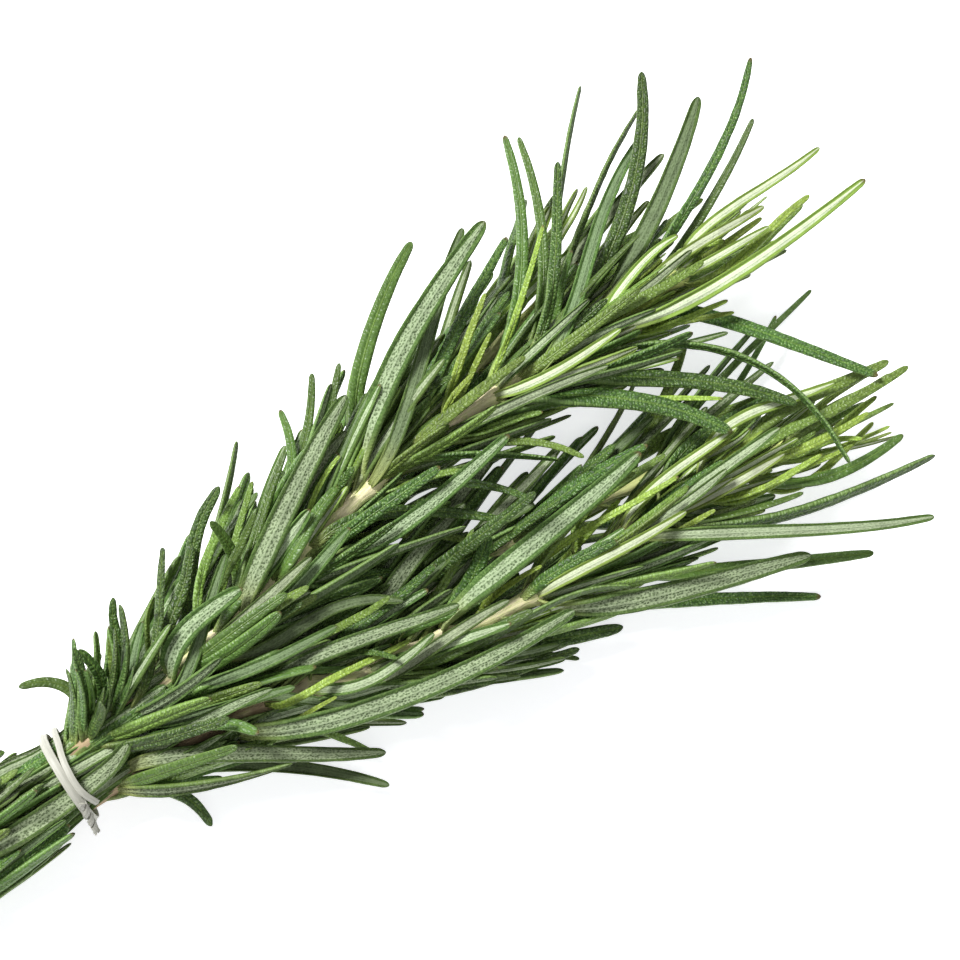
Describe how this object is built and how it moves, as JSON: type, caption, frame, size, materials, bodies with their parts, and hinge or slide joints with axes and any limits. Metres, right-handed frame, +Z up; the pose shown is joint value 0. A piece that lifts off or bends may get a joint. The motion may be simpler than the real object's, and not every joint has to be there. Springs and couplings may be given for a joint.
{
  "type": "rosemary sprig bunch",
  "caption": "Small bunch of cut rosemary sprigs with long needle leaves, held near the cut ends by a white twist tie and lying flat.",
  "frame": {"origin": "under the middle of the bunch's box, on the surface that it lies on", "axes": "+X from the cut ends to the leaf tips, +Y to the left when seen from above with the tips ahead, +Z up"},
  "size_m": [0.1396, 0.063, 0.0191],
  "materials": {
    "leaf_skin": "dark green wrinkled upper face, grey-green felted underside",
    "stem_bark": "smooth cream to brown young bark",
    "tie_paper": "matt white"
  },
  "bodies": {
    "root": {"sprig_a_stem": "stem_bark", "sprig_b_stem": "stem_bark", "sprig_c_stem": "stem_bark", "sprig_d_stem": "stem_bark", "sprig_a_whorl_01": "leaf_skin", "sprig_a_whorl_02": "leaf_skin", "sprig_a_whorl_03": "leaf_skin", "sprig_a_whorl_04": "leaf_skin", "sprig_a_whorl_05": "leaf_skin", "sprig_a_whorl_06": "leaf_skin", "sprig_a_whorl_07": "leaf_skin", "sprig_a_whorl_08": "leaf_skin", "sprig_a_whorl_09": "leaf_skin", "sprig_a_whorl_10": "leaf_skin", "sprig_a_whorl_11": "leaf_skin", "sprig_a_whorl_12": "leaf_skin", "sprig_a_whorl_13": "leaf_skin", "sprig_a_whorl_14": "leaf_skin", "sprig_a_whorl_15": "leaf_skin", "sprig_a_whorl_16": "leaf_skin", "sprig_a_whorl_17": "leaf_skin", "sprig_b_whorl_01": "leaf_skin", "sprig_b_whorl_02": "leaf_skin", "sprig_b_whorl_03": "leaf_skin", "sprig_b_whorl_04": "leaf_skin", "sprig_b_whorl_05": "leaf_skin", "sprig_b_whorl_06": "leaf_skin", "sprig_b_whorl_07": "leaf_skin", "sprig_b_whorl_08": "leaf_skin", "sprig_b_whorl_09": "leaf_skin", "sprig_b_whorl_10": "leaf_skin", "sprig_b_whorl_11": "leaf_skin", "sprig_b_whorl_12": "leaf_skin", "sprig_b_whorl_13": "leaf_skin", "sprig_b_whorl_14": "leaf_skin", "sprig_b_whorl_15": "leaf_skin", "sprig_c_whorl_01": "leaf_skin", "sprig_c_whorl_02": "leaf_skin", "sprig_c_whorl_03": "leaf_skin", "sprig_c_whorl_04": "leaf_skin", "sprig_c_whorl_05": "leaf_skin", "sprig_c_whorl_06": "leaf_skin", "sprig_c_whorl_07": "leaf_skin", "sprig_c_whorl_08": "leaf_skin", "sprig_c_whorl_09": "leaf_skin", "sprig_c_whorl_10": "leaf_skin", "sprig_d_whorl_01": "leaf_skin", "sprig_d_whorl_02": "leaf_skin", "sprig_d_whorl_03": "leaf_skin", "sprig_d_whorl_04": "leaf_skin", "sprig_d_whorl_05": "leaf_skin", "sprig_d_whorl_06": "leaf_skin", "sprig_d_whorl_07": "leaf_skin", "sprig_d_whorl_08": "leaf_skin", "sprig_d_whorl_09": "leaf_skin", "twist_tie": "tie_paper"}
  },
  "joints": []
}
